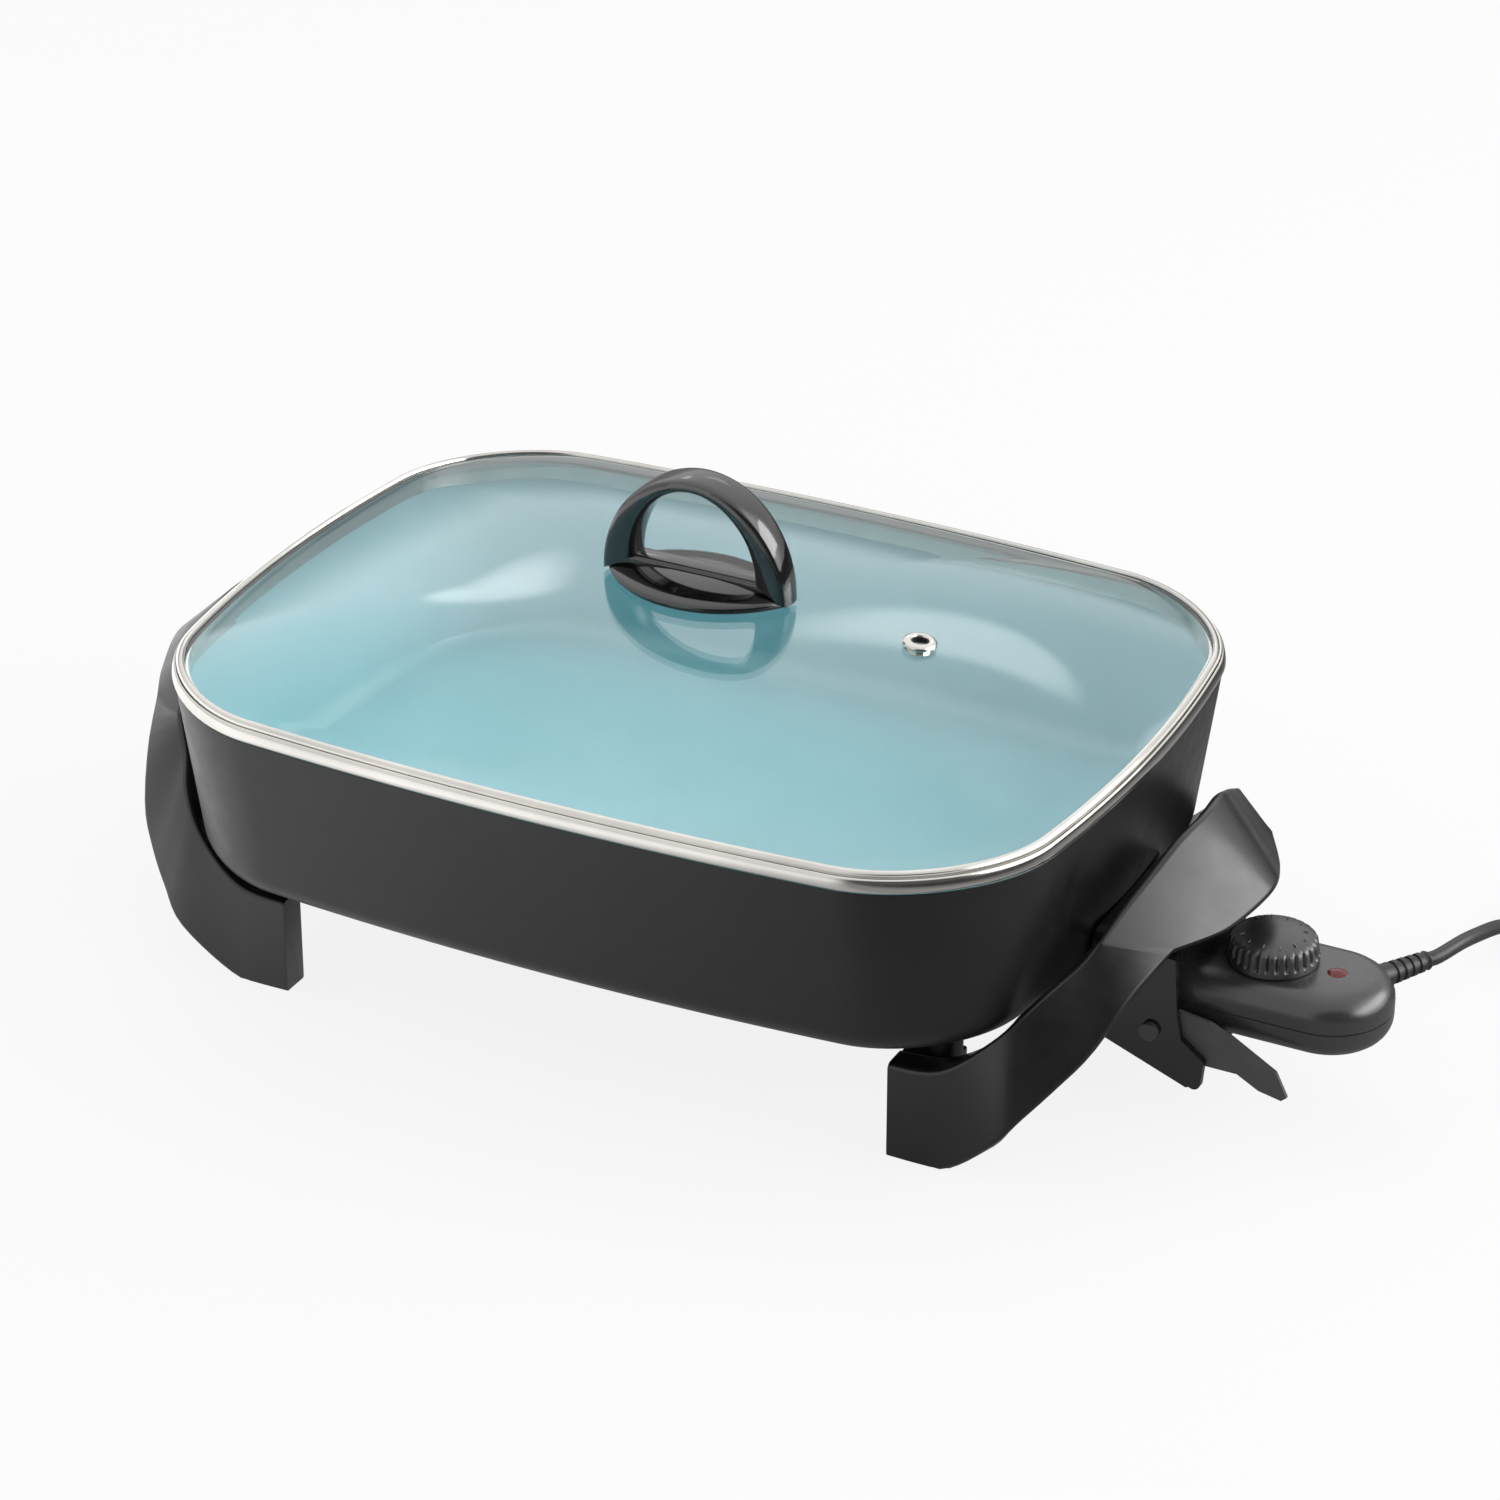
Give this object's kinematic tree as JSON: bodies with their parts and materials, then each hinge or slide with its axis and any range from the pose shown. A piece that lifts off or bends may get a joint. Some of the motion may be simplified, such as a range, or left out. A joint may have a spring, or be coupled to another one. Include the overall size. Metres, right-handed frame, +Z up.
{
  "type": "electric skillet",
  "caption": "Electric skillet with a bowed rectangular pan, domed glass lid, arched handles that serve as feet and a plug-in thermostat probe.",
  "frame": {"origin": "centre of the object's footprint box without its cord, on the surface it stands on", "axes": "+Z up, +X towards the probe along the pan's long side, +Y towards the back"},
  "size_m": [0.678, 0.3749, 0.2195],
  "materials": {
    "pan_coating": "cast aluminium under satin black enamel outside and a pale turquoise ceramic coating inside",
    "cast_base": "as cast, under the same black enamel as the outside of the pan",
    "element_sheath": "dull oxidised steel tube",
    "porcelain": "unglazed white",
    "plated_steel": "bright plated",
    "phenolic_black": "satin moulded",
    "phenolic_gloss": "gloss moulded",
    "guard_steel": "matte dark coating",
    "lid_glass": "clear tempered",
    "polished_steel": "polished stainless steel",
    "silicone": "soft black",
    "probe_plastic": "satin moulded",
    "dial_plastic": "satin moulded",
    "brass": "plain",
    "lamp_glass": "clear",
    "red_lens": "clear red",
    "cord_rubber": "satin black"
  },
  "bodies": {
    "skillet": {"pan": "pan_coating", "base_casting": "cast_base", "heating_element": "element_sheath", "pin_insulators": "porcelain", "terminal_pins": "plated_steel", "handle_left": "phenolic_black", "handle_right": "phenolic_black", "handle_screws_left": "plated_steel", "handle_screws_right": "plated_steel", "inlet_shroud": "phenolic_gloss", "shroud_screws": "plated_steel", "probe_guard": "guard_steel", "guard_screws": "plated_steel"},
    "lid": {"lid_glass": "lid_glass", "lid_rim": "polished_steel", "vent_grommet": "polished_steel", "knob_gasket": "silicone", "lid_knob": "phenolic_gloss", "knob_washer": "plated_steel", "knob_screw": "plated_steel"},
    "probe": {"probe_top_shell": "probe_plastic", "probe_base_shell": "probe_plastic", "probe_nose": "probe_plastic", "contact_sockets": "brass", "sensor_rod": "plated_steel", "thermostat_switch": "porcelain", "neon_lamp": "lamp_glass", "indicator_lens": "red_lens", "probe_screws": "plated_steel", "strain_relief": "cord_rubber", "power_cord": "cord_rubber", "cord_coil": "cord_rubber", "cord_tail": "cord_rubber", "plug_body": "cord_rubber", "plug_blades": "brass"},
    "dial_knob": {"dial": "dial_plastic", "dial_shaft": "brass"}
  },
  "joints": [
    {"name": "lid_lift", "type": "slide", "parent": "skillet", "child": "lid", "axis": [0, 0, 1], "range_m": [0, 0.12]},
    {"name": "probe_pull", "type": "slide", "parent": "skillet", "child": "probe", "axis": [1, 0, 0], "range_m": [0, 0.11]},
    {"name": "dial_turn", "type": "hinge", "parent": "probe", "child": "dial_knob", "pos_m": [0.2275, 0, 0.0653], "axis": [0, 0, 1], "range_deg": [0, 290]}
  ]
}
